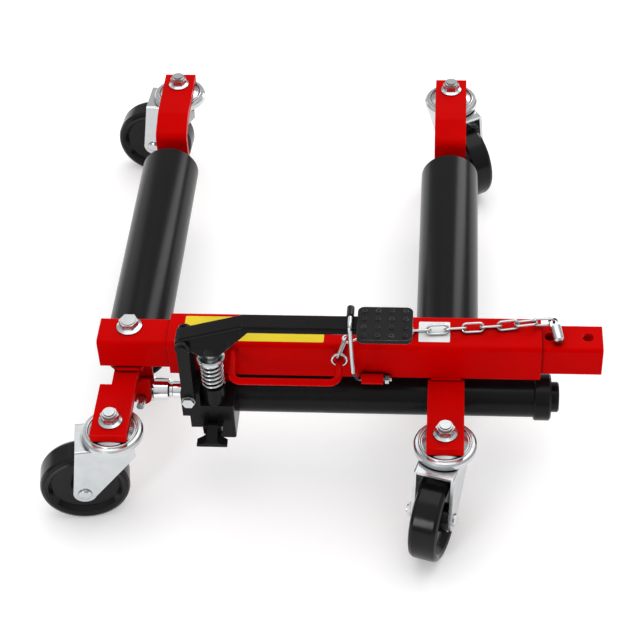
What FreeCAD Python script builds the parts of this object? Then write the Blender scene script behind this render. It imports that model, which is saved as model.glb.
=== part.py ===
import FreeCAD, Part
import math
import os
import re
import Sketcher

os.makedirs("parts", exist_ok=True)
doc = FreeCAD.newDocument("positioning_jack")
V = FreeCAD.Vector

# Driving sizes in millimetres. X runs along the beam, +Y away from the user, Z up from the floor.
SIZES = [
    ("outer_size", 50, "outer tube, across flats"),
    ("outer_wall", 4, "outer tube wall"),
    ("outer_round", 5, "outer tube edge radius"),
    ("outer_len", 408, "outer tube length"),
    ("slide_gap", 1, "play between the two tubes on each side"),
    ("inner_wall", 3.5, "inner tube wall"),
    ("inner_left", 79, "inner tube shown past the outer tube's left end"),
    ("inner_right", 66.5, "inner tube shown past the outer tube's right end"),
    ("hole_dia", 12.4, "lock pin holes"),
    ("hole_pitch", 41, "lock pin hole spacing"),
    ("hole_edge", 16, "last hole from the inner tube's end"),
    ("wheel_dia", 100, "caster wheel"),
    ("wheel_wide", 32, "caster wheel tread width"),
    ("caster_trail", 39, "kingpin to wheel axle, level"),
    ("plate_dia", 68, "caster plate"),
    ("bar_wide", 40, "arm brackets' width"),
    ("bar_thick", 10, "arm brackets' plate"),
    ("pin_to_end", 22, "kingpin to a bracket's end"),
    ("left_back", 8.7, "left arm's set-back"),
    ("roller_dia", 72, "rollers"),
    ("roller_wall", 4, "roller tube wall"),
    ("roller_end", 386, "right roller's rear end"),
    ("axle_dia", 20, "roller axles"),
    ("run_fit", 0.05, "running clearance on a shaft's radius"),
    ("seat_fit", 0.1, "clearance of a fixed pin on its radius"),
    ("bolt_dia", 12, "kingpins"),
    ("flange_dia", 26, "flange nuts"),
    ("nut_flats", 18, "flange nuts across flats"),
    ("ram_dia", 46, "ram cylinder"),
    ("ram_bore", 38, "ram cylinder bore"),
    ("rod_dia", 20, "ram rod"),
    ("collar_dia", 26, "rod collar"),
    ("cap_dia", 53, "ram end cap"),
    ("plunger_dia", 12, "pump plunger"),
    ("barrel_dia", 25, "pump barrel"),
    ("spring_wire", 2.6, "return spring wire"),
    ("spring_dia", 26, "return spring outside"),
    ("lever_wide", 22, "pedal lever"),
    ("lever_sheet", 3, "pedal lever sheet"),
    ("pivot_dia", 8, "pedal pivot pin"),
    ("pad_long", 58, "foot pad along the beam"),
    ("pad_deep", 50, "foot pad across the beam"),
    ("handle_dia", 8, "carry handle rod"),
    ("handle_out", 45, "carry handle's reach from the tube's face"),
    ("wire_dia", 4.8, "latch wire"),
    ("chain_wire", 2.8, "chain wire"),
    ("chain_pitch", 20, "inside length of a chain link"),
    ("chain_gap", 6.6, "inside width of a chain link"),
    ("axle_bolt", 10, "caster wheel bolts"),
    ("bolt_flats", 15, "caster wheel nuts across flats"),
    ("fork_sheet", 3.5, "caster fork sheet"),
    ("clevis_dia", 10, "clevis pin"),
    ("pin_dia", 12, "lock pin"),
    ("lug_wide", 22, "ram lugs, along the beam"),
    ("lug_sheet", 4, "ram lugs' plate"),
    ("pin_long", 31, "lock pin"),
    # sizes that follow from others
    ("bar_top", "=plate_top + bar_thick", "arm brackets' top, where the outer tube sits"),
    ("tube_z", "=bar_top + outer_size / 2", "tubes' centre line"),
    ("inner_size", "=outer_size - 2 * outer_wall - 2 * slide_gap", "inner tube, across flats"),
    ("inner_len", "=outer_len + inner_left + inner_right", "inner tube"),
    ("tube_top", "=tube_z + outer_size / 2", "outer tube's top"),
    ("face_y", "=-outer_size / 2", "outer tube's front face"),
    ("plate_top", "=wheel_dia + 30", "caster plate's top above the floor"),
    ("right_x", "=outer_len / 2 - 102.3", "right arm's centre line"),
    ("left_x", "=-outer_len / 2 - 57", "left arm's centre line"),
    ("roller_z", "=plate_top - 38", "roller axles above the floor"),
    ("ram_y", "=face_y + 12", "ram's centre line"),
    ("ram_z", "=plate_top - 26", "ram's centre line above the floor"),
    ("pump_x", "=-outer_len / 2 + 52", "pump plunger"),
    ("pump_y", "=face_y - 13.5 - lever_wide / 2", "pump plunger and pedal centre line"),
    ("barrel_top", "=bar_top + 13", "pump barrel's top"),
    ("cap_under", "=barrel_top + 39", "underside of the plunger's spring cap"),
    ("pivot_x", "=pump_x - 27", "pedal pivot"),
    ("pivot_z", "=cap_under + 29", "pedal pivot"),
    ("lever_top", "=pivot_z + 29", "pedal lever's level top"),
    ("latch_y", "=face_y - 6", "latch pivot"),
    ("latch_z", "=bar_top + 6", "latch pivot"),
    ("handle_left", "=pump_x + 24", "carry handle's left leg"),
    ("handle_right", "=handle_left + 114", "carry handle's right leg"),
    ("leg_front", "=outer_size / 2 + 5", "front bracket's turned-down leg, near face"),
    ("roller_start", "=leg_front + bar_thick + 2", "right roller's front end"),
    ("leg_rear", "=roller_end + 24", "rear bracket's turned-down leg, near face"),
    ("rear_y", "=leg_rear + 96.3", "right arm's rear kingpin"),
    ("front_y", "=face_y - 79.3", "right arm's front kingpin"),
]
sheet = doc.addObject("Spreadsheet::Sheet", "Sizes")
for row, (name, amount, note) in enumerate(SIZES, start=1):
    sheet.set("A%d" % row, name)
    sheet.set("B%d" % row, str(amount))
    sheet.set("C%d" % row, note)
    sheet.setAlias("B%d" % row, name)
doc.recompute()
NAMES = [name for name, amount, note in SIZES]


def size(name):
    return float(sheet.get(name))


def linked(text):
    """The text with each size's name made a reference to the sheet."""
    return re.sub(r"[a-z][a-z_]+", lambda m: "Sizes." + m.group(0) if m.group(0) in NAMES else m.group(0), str(text))


def value(text):
    return float(sheet.evalExpression(linked(text)))


def bind(thing, prop, text):
    thing.setExpression(prop, linked(text))


def place(thing, at):
    for axis, text in zip("xyz", at):
        bind(thing, "Placement.Base." + axis, text)


TURNS = {
    "x": FreeCAD.Rotation(V(0, 1, 0), 90),
    "y": FreeCAD.Rotation(V(1, 0, 0), -90),
    "z": FreeCAD.Rotation(),
}


def box(name, lengths, at):
    thing = doc.addObject("Part::Box", name)
    for prop, text in zip(("Length", "Width", "Height"), lengths):
        bind(thing, prop, text)
    place(thing, at)
    return thing


def rod(name, dia, length, at, along="z"):
    thing = doc.addObject("Part::Cylinder", name)
    bind(thing, "Radius", "(%s) / 2" % dia)
    bind(thing, "Height", length)
    thing.Placement = FreeCAD.Placement(V(), TURNS[along])
    place(thing, at)
    return thing


def hexagon(name, flats, height, at, along="z"):
    thing = doc.addObject("Part::Prism", name)
    thing.Polygon = 6
    bind(thing, "Circumradius", "(%s) / sqrt(3)" % flats)
    bind(thing, "Height", height)
    thing.Placement = FreeCAD.Placement(V(), TURNS[along])
    place(thing, at)
    return thing


def join(name, things):
    thing = doc.addObject("Part::MultiFuse", name)
    thing.Shapes = things
    thing.Refine = True
    return thing


def cut(name, base, tools):
    tool = tools[0]
    if len(tools) > 1:
        tool = doc.addObject("Part::MultiFuse", name + "_tools")
        tool.Shapes = tools
    thing = doc.addObject("Part::Cut", name)
    thing.Base = base
    thing.Tool = tool
    thing.Refine = True
    return thing


def outline(name, points, turn, at):
    """A closed sketch whose corners are each held by two linked distances."""
    doc.recompute()
    sketch = doc.addObject("Sketcher::SketchObject", name)
    probe = [[value(t) for t in p] for p in points]
    corners = [V(a, b, 0) for a, b in probe]
    for n, corner in enumerate(corners):
        sketch.addGeometry(Part.LineSegment(corner, corners[(n + 1) % len(corners)]))
    for n in range(len(corners)):
        sketch.addConstraint(Sketcher.Constraint("Coincident", n, 2, (n + 1) % len(corners), 1))
    for n, (a, b) in enumerate(points):
        for kind, text, start in (("DistanceX", a, probe[n][0]), ("DistanceY", b, probe[n][1])):
            held = sketch.addConstraint(Sketcher.Constraint(kind, -1, 1, n, 1, start))
            sketch.setExpression("Constraints[%d]" % held, linked(text))
    sketch.Placement = FreeCAD.Placement(V(), turn)
    place(sketch, at)
    return sketch


SIDE = FreeCAD.Rotation(V(1, 1, 1), 120)
FRONT = FreeCAD.Rotation(V(1, 0, 0), 90)


def extrude(name, sketch, way, length):
    thing = doc.addObject("Part::Extrusion", name)
    thing.Base = sketch
    thing.DirMode = "Custom"
    thing.Dir = way
    thing.Solid = True
    bind(thing, "LengthFwd", length)
    return thing


def side_plate(name, points, x, wide):
    """A profile in Y and Z, extruded along +X from x."""
    return extrude(name, outline(name + "_sketch", points, SIDE, (x, 0, 0)), V(1, 0, 0), wide)


def front_plate(name, points, y, deep):
    """A profile in X and Z, extruded along +Y from y."""
    return extrude(name, outline(name + "_sketch", points, FRONT, (0, y, 0)), V(0, 1, 0), deep)


def turned(name, points, at, along="z"):
    """A profile of radius and height turned about its axis."""
    sketch = outline(name + "_sketch", points, FRONT, (0, 0, 0))
    thing = doc.addObject("Part::Revolution", name)
    thing.Source = sketch
    thing.Axis = V(0, 0, 1)
    thing.Base = V(0, 0, 0)
    thing.Angle = 360
    thing.Solid = True
    thing.Placement = FreeCAD.Placement(V(), TURNS[along])
    place(thing, at)
    return thing


def rounded(name, base, radius, choose):
    doc.recompute()
    thing = doc.addObject("Part::Fillet", name)
    thing.Base = base
    picked = [n for n, edge in enumerate(base.Shape.Edges, start=1) if choose(edge)]
    thing.Edges = [(n, radius, radius) for n in picked]
    return thing



nodes = {}


def keep(name, thing):
    """Make a finished piece a node of its own."""
    nodes[name] = thing
    return thing


def group(name, things):
    thing = doc.addObject("Part::Compound", name)
    thing.Links = things
    return keep(name, thing)


def copied(name, source, placement):
    """A placed copy of a finished master piece."""
    doc.recompute()
    thing = doc.addObject("Part::Feature", name)
    thing.Shape = source.Shape.copy()
    thing.Placement = placement.multiply(source.Placement)
    return thing


def along_x(edge):
    return edge.Curve.TypeId == "Part::GeomLine" and abs(edge.tangentAt(edge.FirstParameter).x) > 0.999


def at_points(points):
    """Choose the edges along X that pass through one of these Y and Z places."""
    def choose(edge):
        middle = edge.CenterOfMass
        return along_x(edge) and any(abs(middle.y - y) + abs(middle.z - z) < 0.05 for y, z in points)
    return choose


def upright(edge):
    return edge.Curve.TypeId == "Part::GeomLine" and abs(edge.tangentAt(edge.FirstParameter).z) > 0.999


def arc_between(start, heading, end):
    """The arc that leaves start along heading and reaches end."""
    chord = end - start
    middle = start + chord * 0.5
    ahead = heading * (chord.dot(chord) / (2 * chord.dot(heading)))
    out = start + ahead - middle
    if out.Length < 1e-9:
        return Part.LineSegment(start, end).toShape()
    half = chord.Length / 2
    bulge = half * math.tan(math.atan2(out.Length, half) / 2)
    return Part.Arc(start, middle + out.normalize() * bulge, end).toShape()


def biarc(start, way_in, end, way_out):
    """Two arcs that join start to end with these headings."""
    v = end - start
    t = way_in + way_out
    k = 2 * (1 - way_in.dot(way_out))
    reach = (-v.dot(t) + math.sqrt(v.dot(t) ** 2 + k * v.dot(v))) / k
    middle = (start + way_in * reach + end - way_out * reach) * 0.5
    return [arc_between(start, way_in, middle), arc_between(end, way_out * -1, middle)]


def bent_path(points, bend):
    """Straight runs between the points, with each corner rounded."""
    edges = []
    last = points[0]
    for n in range(1, len(points) - 1):
        before = (points[n - 1] - points[n]).normalize()
        after = (points[n + 1] - points[n]).normalize()
        back = bend / math.tan(before.getAngle(after) / 2)
        enter = points[n] + before * back
        leave = points[n] + after * back
        edges.append(Part.LineSegment(last, enter).toShape())
        edges.append(arc_between(enter, before * -1, leave))
        last = leave
    edges.append(Part.LineSegment(last, points[-1]).toShape())
    return edges


def wire_along(name, edges, dia):
    """A round wire swept along a path in one piece."""
    path = Part.Wire(Part.__sortEdges__(edges))
    first = path.OrderedEdges[0]
    start = path.OrderedVertexes[0].Point
    heading = first.tangentAt(first.FirstParameter)
    if (first.valueAt(first.FirstParameter) - start).Length > 1e-6:
        heading = first.tangentAt(first.LastParameter) * -1
    ring = Part.Wire(Part.Circle(start, heading, dia / 2).toShape())
    thing = doc.addObject("Part::Feature", name)
    thing.Shape = path.makePipeShell([ring], True, False)
    return thing


def square_tube(name, across, wall, radius, left, length):
    """A square tube along X with rounded edges."""
    skin = box(name + "_skin", (length, across, across), (left, "-(%s) / 2" % across, "tube_z - (%s) / 2" % across))
    inside = "(%s) - 2 * (%s)" % (across, wall)
    hollow = box(name + "_hollow", (length, inside, inside),
                 (left, "-(%s) / 2" % inside, "tube_z - (%s) / 2" % inside))
    skin = rounded(name + "_skin_round", skin, radius, along_x)
    hollow = rounded(name + "_hollow_round", hollow, max(radius - value(wall), 0.8), along_x)
    return cut(name + "_tube", skin, [hollow])


# Beam: the outer tube, and the inner tube that slides in it and carries the left arm.
keep("outer_tube", square_tube("outer", "outer_size", "outer_wall", size("outer_round"), "-outer_len / 2", "outer_len"))
inner = square_tube("inner", "inner_size", "inner_wall", size("outer_round") - 0.5, "-outer_len / 2 - inner_left",
                    "inner_len")
HOLE_COUNT = 5
holes = []
for n in range(HOLE_COUNT):
    where = "outer_len / 2 + inner_right - hole_edge - %d * hole_pitch" % n
    holes.append(rod("lock_hole_%d" % n, "hole_dia", "inner_size + 2", (where, 0, "tube_z - inner_size / 2 - 1")))
ARM_BOLT = ("left_x + 11.4", "5", "plate_top")
holes.append(rod("arm_bolt_hole", "bolt_dia + 2 * seat_fit", "90", ARM_BOLT))
keep("inner_tube", cut("inner_drilled", inner, holes))


# Arms: bent brackets at each end, with the roller's axle held between their turned-down legs.
LEG_BELOW = 20
SLOPE_RUN = 34
SLOPE_DROP = 13


def arm(side, x, back):
    """One arm's brackets, axle and roller, set back along Y."""
    front = "front_y - pin_to_end + %s" % back
    rear = "rear_y + pin_to_end + %s" % back
    near = "leg_front + %s" % back
    far = "leg_rear + %s" % back
    foot = "roller_z - %d" % LEG_BELOW
    edge = "%s - bar_wide / 2" % x
    sheet_front = side_plate(side + "_front_sheet", [
        (front, "plate_top"), (front, "bar_top"), (near + " + bar_thick", "bar_top"),
        (near + " + bar_thick", foot), (near, foot), (near, "plate_top")], edge, "bar_wide")
    top = size("bar_top")
    under = size("plate_top")
    bent = rounded(side + "_front_bends", sheet_front, size("bar_thick") + 1.5,
                   at_points([(value(near + " + bar_thick"), top)]))
    bent = rounded(side + "_front_inner_bends", bent, 1.5, at_points([(value(near), under)]))
    axle_hole = rod(side + "_front_axle_hole", "axle_dia + 2 * seat_fit", "40", (x, near + " - 15", "roller_z"), "y")
    pin_hole = rod(side + "_front_pin_hole", "bolt_dia + 2 * seat_fit", "40",
                   (x, "front_y + %s" % back, "plate_top - 20"))
    tools = [axle_hole, pin_hole]
    if side == "left":
        tools.append(rod("bracket_bolt_hole", "bolt_dia + 2 * seat_fit", "20", ARM_BOLT[:2] + ("plate_top - 6",)))
        tools.append(box("bracket_notch", ("14", "44", "bar_thick + 2"),
                         (edge + " - 1", "-inner_size / 2 - 21", "plate_top - 1")))
    keep(side + "_front_bracket", cut(side + "_front_drilled", bent, tools))

    sheet_rear = side_plate(side + "_rear_sheet", [
        (rear, "plate_top"), (rear, "bar_top"), (far + " + %d" % SLOPE_RUN, "bar_top"),
        (far, "bar_top - %d" % SLOPE_DROP), (far, foot), (far + " + bar_thick", foot),
        (far + " + bar_thick", "bar_top - %d - 0.7 * bar_thick" % SLOPE_DROP),
        (far + " + %d + 0.2 * bar_thick" % SLOPE_RUN, "plate_top")], edge, "bar_wide")
    bent = rounded(side + "_rear_bends", sheet_rear, size("bar_thick") + 1.5, at_points([
        (value(far) + SLOPE_RUN, top), (value(far), top - SLOPE_DROP)]))
    axle_hole = rod(side + "_rear_axle_hole", "axle_dia + 2 * seat_fit", "40", (x, far + " - 15", "roller_z"), "y")
    pin_hole = rod(side + "_rear_pin_hole", "bolt_dia + 2 * seat_fit", "40",
                   (x, "rear_y + %s" % back, "plate_top - 20"))
    keep(side + "_rear_bracket", cut(side + "_rear_drilled", bent, [axle_hole, pin_hole]))

    long = "leg_rear - leg_front + bar_thick + 8"
    keep(side + "_axle", turned(side + "_axle_bar", [
        ("0", "0"), ("axle_dia / 2 - 1.5", "0"), ("axle_dia / 2", "1.5"), ("axle_dia / 2", long + " - 1.5"),
        ("axle_dia / 2 - 1.5", long), ("0", long)], (x, near + " - 4", "roller_z"), "y"))
    start = "roller_start + %s" % back
    reach = "roller_end - roller_start"
    keep(side + "_roller", turned(side + "_roller_tube", [
        ("roller_dia / 2 - roller_wall", "0"), ("roller_dia / 2 - 1.5", "0"), ("roller_dia / 2", "1.5"),
        ("roller_dia / 2", reach + " - 1.5"), ("roller_dia / 2 - 1.5", reach),
        ("roller_dia / 2 - roller_wall", reach)], (x, start, "roller_z"), "y"))
    discs = []
    bushes = []
    for end, where in (("front", start + " + 2"), ("rear", "roller_end + %s - 12" % back)):
        discs.append(turned(side + "_disc_" + end, [
            ("axle_dia / 2 + 5", "0"), ("roller_dia / 2 - roller_wall", "0"),
            ("roller_dia / 2 - roller_wall", "10"), ("axle_dia / 2 + 5", "10")], (x, where, "roller_z"), "y"))
        bushes.append(turned(side + "_bush_" + end, [
            ("axle_dia / 2 + run_fit", "0"), ("axle_dia / 2 + 5", "0"), ("axle_dia / 2 + 5", "10"),
            ("axle_dia / 2 + run_fit", "10")], (x, where, "roller_z"), "y"))
    group(side + "_roller_ends", discs)
    group(side + "_roller_bushes", bushes)


arm("right", "right_x", "0")
arm("left", "left_x", "left_back")

# Left arm's fixing to the inner tube: a packing plate and one flange bolt through both.
neck = box("neck_plate", ("32", "inner_size - 2", "tube_z - inner_size / 2 - bar_top"),
           ("left_x - 7", "1 - inner_size / 2", "bar_top"))
keep("arm_packing", cut("neck_drilled", neck, [rod("neck_hole", "bolt_dia + 2 * seat_fit", "40", ARM_BOLT)]))
head_z = "tube_z + inner_size / 2"
bolt = [rod("arm_bolt_shank", "bolt_dia", head_z + " - plate_top + 1", ARM_BOLT),
        turned("arm_bolt_flange", [("0", "0"), ("flange_dia / 2 + 1", "0"), ("flange_dia / 2 + 1", "1.2"),
                                   ("nut_flats / 2 + 0.6", "3.4"), ("0", "3.4")], ARM_BOLT[:2] + (head_z,)),
        hexagon("arm_bolt_hex", "nut_flats + 1", "9.5", ARM_BOLT[:2] + (head_z,)),
        rod("arm_bolt_face", "nut_flats - 2", "10.2", ARM_BOLT[:2] + (head_z,))]
keep("arm_bolt", join("arm_bolt_whole", bolt))


# Casters: a fixed dished plate and kingpin, and a swivelling fork with its wheel behind the kingpin.
fork_in = "wheel_wide / 2 + 3.2"
fork_out = fork_in + " + fork_sheet"
race_z = "plate_top - 13"
fork_z = "plate_top - 13 - fork_sheet"
leg_points = [("-23", race_z), ("caster_trail + 3", race_z), ("caster_trail + 13", "wheel_dia / 2"),
              ("caster_trail", "wheel_dia / 2 - 12.6"), ("caster_trail - 11", "wheel_dia / 2 - 6.5"),
              ("-23", "plate_top - 27")]
leaves = []
for name, where in (("near", "-(%s)" % fork_out), ("far", fork_in)):
    leaves.append(front_plate("fork_leg_" + name, leg_points, where, "fork_sheet"))
    leaves.append(rod("fork_eye_" + name, "26", "fork_sheet", ("caster_trail", where, "wheel_dia / 2"), "y"))
deck = box("fork_deck", ("caster_trail + 26", "2 * (%s)" % fork_out, "fork_sheet"), ("-23", "-(%s)" % fork_out, fork_z))
boss = turned("fork_boss", [("0", "0"), ("28", "0"), ("28", "2.5"), ("22", "2.5"), ("16", "9.7"), ("0", "9.7")],
              ("0", "0", race_z))
fork_yoke = join("fork_yoke", leaves + [deck])
fork_soft = rounded("fork_soft", fork_yoke, 2.5, lambda e: along_x(e) and abs(e.CenterOfMass.z - value(race_z)) < 0.05
                    and abs(abs(e.CenterOfMass.y) - value(fork_out)) < 0.05)
fork_whole = join("fork_whole", [fork_soft, boss])
fork_master = cut("fork_master", fork_whole, [
    rod("fork_pin_hole", "bolt_dia + 2 * run_fit", "60", ("0", "0", "plate_top - 40")),
    rod("fork_axle_hole", "axle_bolt + 2 * seat_fit", "120", ("caster_trail", "-60", "wheel_dia / 2"), "y")])
hub = "wheel_wide / 2 + 2.8"
wheel_half = [("axle_bolt / 2 + run_fit", hub), ("15", hub), ("16.5", "wheel_wide / 2 - 7"),
              ("wheel_dia / 2 - 13", "wheel_wide / 2 - 7"), ("wheel_dia / 2 - 9", "wheel_wide / 2 - 1.5"),
              ("wheel_dia / 2 - 5", "wheel_wide / 2"), ("wheel_dia / 2 - 1.6", "wheel_wide / 2 - 1.6"),
              ("wheel_dia / 2", "wheel_wide / 2 - 5")]
wheel_master = turned("wheel_master", [(r, "-(%s)" % w) for r, w in wheel_half] + wheel_half[::-1],
                      ("caster_trail", "0", "wheel_dia / 2"), "y")
axle_at = ("caster_trail", "-(%s) - 8" % fork_out, "wheel_dia / 2")
nut_at = ("caster_trail", "-(%s) - 6" % fork_out, "wheel_dia / 2")
bolt_master = join("bolt_master", [
    turned("axle_head", [("0", "0"), ("7.5", "0"), ("7.1", "1.6"), ("5", "3"), ("0", "3")],
           ("caster_trail", fork_out, "wheel_dia / 2"), "y"),
    rod("axle_shank", "axle_bolt", "2 * (%s) + 9" % fork_out, axle_at, "y")])
nut_master = cut("nut_master", hexagon("axle_nut", "bolt_flats", "6", nut_at, "y"), [
    rod("axle_nut_bore", "axle_bolt + 2 * seat_fit", "12", axle_at, "y")])
rim = "plate_dia / 2"
plate_master = turned("plate_master", [
    ("bolt_dia / 2 + seat_fit", "plate_top"), ("20", "plate_top"), ("25", "plate_top - 3"),
    (rim + " - 2", "plate_top - 4"), (rim, "plate_top - 6"), (rim, "plate_top - 11.5"),
    (rim + " - 2.5", "plate_top - 11.5"), (rim + " - 2.5", "plate_top - 7.5"), ("24", "plate_top - 6.2"),
    ("19", "plate_top - 3"), ("bolt_dia / 2 + seat_fit", "plate_top - 3")], ("0", "0", "0"))
king_master = join("king_master", [
    hexagon("king_head", "nut_flats", "7.5", ("0", "0", fork_z + " - 7.8")),
    rod("king_shank", "bolt_dia", "bar_top - (%s) + 22" % fork_z, ("0", "0", fork_z + " - 7.8"))])
king_nut_master = cut("king_nut_master", join("king_nut", [
    turned("king_nut_flange", [("0", "0"), ("flange_dia / 2", "0"), ("flange_dia / 2", "1.2"),
                               ("nut_flats / 2 + 0.6", "3.2"), ("0", "3.2")], ("0", "0", "bar_top")),
    hexagon("king_nut_hex", "nut_flats", "10", ("0", "0", "bar_top")),
    rod("king_nut_collar", "nut_flats - 2.5", "13", ("0", "0", "bar_top"))]), [
        rod("king_nut_bore", "bolt_dia + 2 * seat_fit", "40", ("0", "0", "bar_top - 10"))])

# Where each caster trails at rest, in degrees from +X.
CASTERS = [
    ("front_left", "left", "front_y + left_back", -171),
    ("rear_left", "left", "rear_y + left_back", 176),
    ("front_right", "right", "front_y", -106),
    ("rear_right", "right", "rear_y", -60),
]
fixed = {"left": {"plates": [], "pins": []}, "right": {"plates": [], "pins": []}}
for name, side, where, yaw in CASTERS:
    spot = V(size(side + "_x"), value(where), 0)
    straight = FreeCAD.Placement(spot, FreeCAD.Rotation())
    swung = FreeCAD.Placement(spot, FreeCAD.Rotation(V(0, 0, 1), yaw))
    keep(name + "_fork", copied(name + "_fork", fork_master, swung))
    keep(name + "_wheel", copied(name + "_wheel", wheel_master, swung))
    group(name + "_axle_bolt", [copied(name + "_bolt", bolt_master, swung), copied(name + "_nut", nut_master, swung)])
    fixed[side]["plates"].append(copied(name + "_plate", plate_master, straight))
    fixed[side]["pins"].append(copied(name + "_kingpin", king_master, straight))
    fixed[side]["pins"].append(copied(name + "_king_nut", king_nut_master, straight))
for side in ("left", "right"):
    group(side + "_caster_plates", fixed[side]["plates"])
    group(side + "_kingpins", fixed[side]["pins"])


# Ram: a pull cylinder under the beam, whose rod is pinned to the left arm.
BLOCK_LEFT = "pump_x - 28"
BLOCK_RIGHT = "pump_x + 21"
CAP_LEFT = "outer_len / 2 - 5.5"
ram = ("ram_y", "ram_z")
keep("ram_cylinder", turned("ram_tube", [
    ("ram_bore / 2", "0"), ("ram_dia / 2", "0"), ("ram_dia / 2", "%s - (%s)" % (CAP_LEFT, BLOCK_RIGHT)),
    ("ram_bore / 2", "%s - (%s)" % (CAP_LEFT, BLOCK_RIGHT))], (BLOCK_RIGHT,) + ram, "x"))
keep("ram_end_cap", turned("ram_cap", [
    ("0", "0"), ("cap_dia / 2 - 1.5", "0"), ("cap_dia / 2", "1.5"), ("cap_dia / 2", "17"), ("cap_dia / 2 - 2", "19"),
    ("0", "19")], (CAP_LEFT,) + ram, "x"))
plug = turned("ram_plug_body", [("0", "0"), ("17", "0"), ("17", "7.5"), ("15.5", "9"), ("0", "9")],
              (CAP_LEFT + " + 19",) + ram, "x")
keep("ram_plug", cut("ram_plug_socketed", plug, [
    hexagon("plug_socket", "17", "8", (CAP_LEFT + " + 23",) + ram, "x")]))
saddle = box("saddle_block", ("30", "26", "plate_top - ram_z"), ("right_x - 15", "ram_y - 13", "ram_z"))
saddle = cut("saddle_cut", saddle, [rod("saddle_round", "ram_dia", "60", ("right_x - 30",) + ram, "x")])
COLLAR_RIGHT = "(left_x + 52)"
ROD_LONG = "outer_len - 59"
COLLAR_LONG = 19
keep("ram_rod", turned("ram_rod_body", [
    ("0", "0"), ("rod_dia / 2 - 1", "0"), ("rod_dia / 2 - 1", "3"), ("rod_dia / 2", "4"), ("rod_dia / 2", ROD_LONG),
    ("0", ROD_LONG)], (COLLAR_RIGHT,) + ram, "x"))
keep("ram_piston", turned("ram_piston_body", [
    ("0", "0"), ("ram_bore / 2 - run_fit", "0"), ("ram_bore / 2 - run_fit", "6"), ("ram_bore / 2 - 2", "6"),
    ("ram_bore / 2 - 2", "10"), ("ram_bore / 2 - run_fit", "10"), ("ram_bore / 2 - run_fit", "22"), ("0", "22")],
    (COLLAR_RIGHT + " + " + ROD_LONG,) + ram, "x"))
CLEVIS_X = "(left_x + 21)"
eye = join("rod_eye_whole", [
    turned("rod_collar", [("0", "0"), ("collar_dia / 2 - 1.5", "0"), ("collar_dia / 2", "1.5"),
                          ("collar_dia / 2", "17.5"), ("collar_dia / 2 - 1.5", "19"), ("0", "19")],
           (COLLAR_RIGHT + " - %d" % COLLAR_LONG,) + ram, "x"),
    rod("rod_eye_round", "22", "18", (CLEVIS_X, "ram_y - 9", "ram_z"), "y"),
    box("rod_eye_web", ("%s - (%s) - 17" % (COLLAR_RIGHT, CLEVIS_X), "18", "22"), (CLEVIS_X, "ram_y - 9", "ram_z - 11"))])
keep("ram_rod_eye", cut("rod_eye_drilled", eye, [
    rod("rod_eye_hole", "clevis_dia + 2 * seat_fit", "60", (CLEVIS_X, "ram_y - 30", "ram_z"), "y")]))
lugs = []
for name, where in (("near", "ram_y - 9.5 - lug_sheet"), ("far", "ram_y + 9.5")):
    ear = join("lug_whole_" + name, [
        box("lug_flat_" + name, ("lug_wide", "lug_sheet", "plate_top - ram_z"),
            (CLEVIS_X + " - lug_wide / 2", where, "ram_z")),
        rod("lug_round_" + name, "lug_wide", "lug_sheet", (CLEVIS_X, where, "ram_z"), "y")])
    lugs.append(cut("lug_" + name, ear, [
        rod("lug_hole_" + name, "clevis_dia + 2 * seat_fit", "20", (CLEVIS_X, where + " - 5", "ram_z"), "y")]))
group("ram_lugs", lugs)
keep("clevis_pin", turned("clevis_pin_body", [
    ("0", "0"), ("clevis_dia / 2 - 1", "0"), ("clevis_dia / 2", "1"), ("clevis_dia / 2", "46"),
    ("clevis_dia / 2 - 1", "47"), ("0", "47")], (CLEVIS_X, "ram_y - 28", "ram_z"), "y"))

# Pump: block with the rod's gland, barrel, plunger and the links that carry the pedal.
BLOCK_LOW = "(ram_z - 24)"
BLOCK_HIGH = "bar_top - 10"
BLOCK_NEAR = "pump_y - lever_wide / 2 - 1.5"
BOSS_HIGH = "(ram_z + 45)"
block = join("pump_block_whole", [
    box("pump_block_body", ("%s - (%s)" % (BLOCK_RIGHT, BLOCK_LEFT), "ram_y + 23 - (%s)" % BLOCK_NEAR,
                            "%s - %s" % (BLOCK_HIGH, BLOCK_LOW)), (BLOCK_LEFT, BLOCK_NEAR, BLOCK_LOW)),
    box("link_boss", ("21", "face_y - 2 - (%s)" % BLOCK_NEAR, "35"), ("pump_x - 36", BLOCK_NEAR, "ram_z + 10")),
    rod("pump_gland", "40", "12", (BLOCK_LEFT + " - 10",) + ram, "x"),
    box("release_ear_left", ("4", "12", "12"), ("pump_x - 13", BLOCK_NEAR + " - 11", "ram_z - 7")),
    box("release_ear_right", ("4", "12", "12"), ("pump_x + 3", BLOCK_NEAR + " - 11", "ram_z - 7"))])
RELEASE = ("pump_x - 3", BLOCK_NEAR + " - 6", "ram_z - 2")
block_soft = rounded("pump_block_soft", block, 2.5, lambda e: upright(e) and
                     abs(e.Length - value("%s - %s" % (BLOCK_HIGH, BLOCK_LOW))) < 0.05)
keep("pump_block", cut("pump_block_drilled", block_soft, [
    rod("rod_bore", "rod_dia + 2 * run_fit", "120", (BLOCK_LEFT + " - 20",) + ram, "x"),
    rod("plunger_bore", "plunger_dia + 2 * run_fit", "60", ("pump_x", "pump_y", "ram_z - 2")),
    box("block_step", ("22", "22", "20"), (BLOCK_LEFT + " - 2", BLOCK_NEAR + " - 2", BLOCK_LOW + " - 4")),
    rod("release_bore", "6 + 2 * seat_fit", "40", ("pump_x - 23",) + RELEASE[1:], "x")]))
hanger = box("hanger_block", ("36", "30", "bar_top - (%s)" % BLOCK_HIGH), ("pump_x - 16", "face_y + 1", BLOCK_HIGH))
group("ram_mounts", [hanger, saddle])
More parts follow.
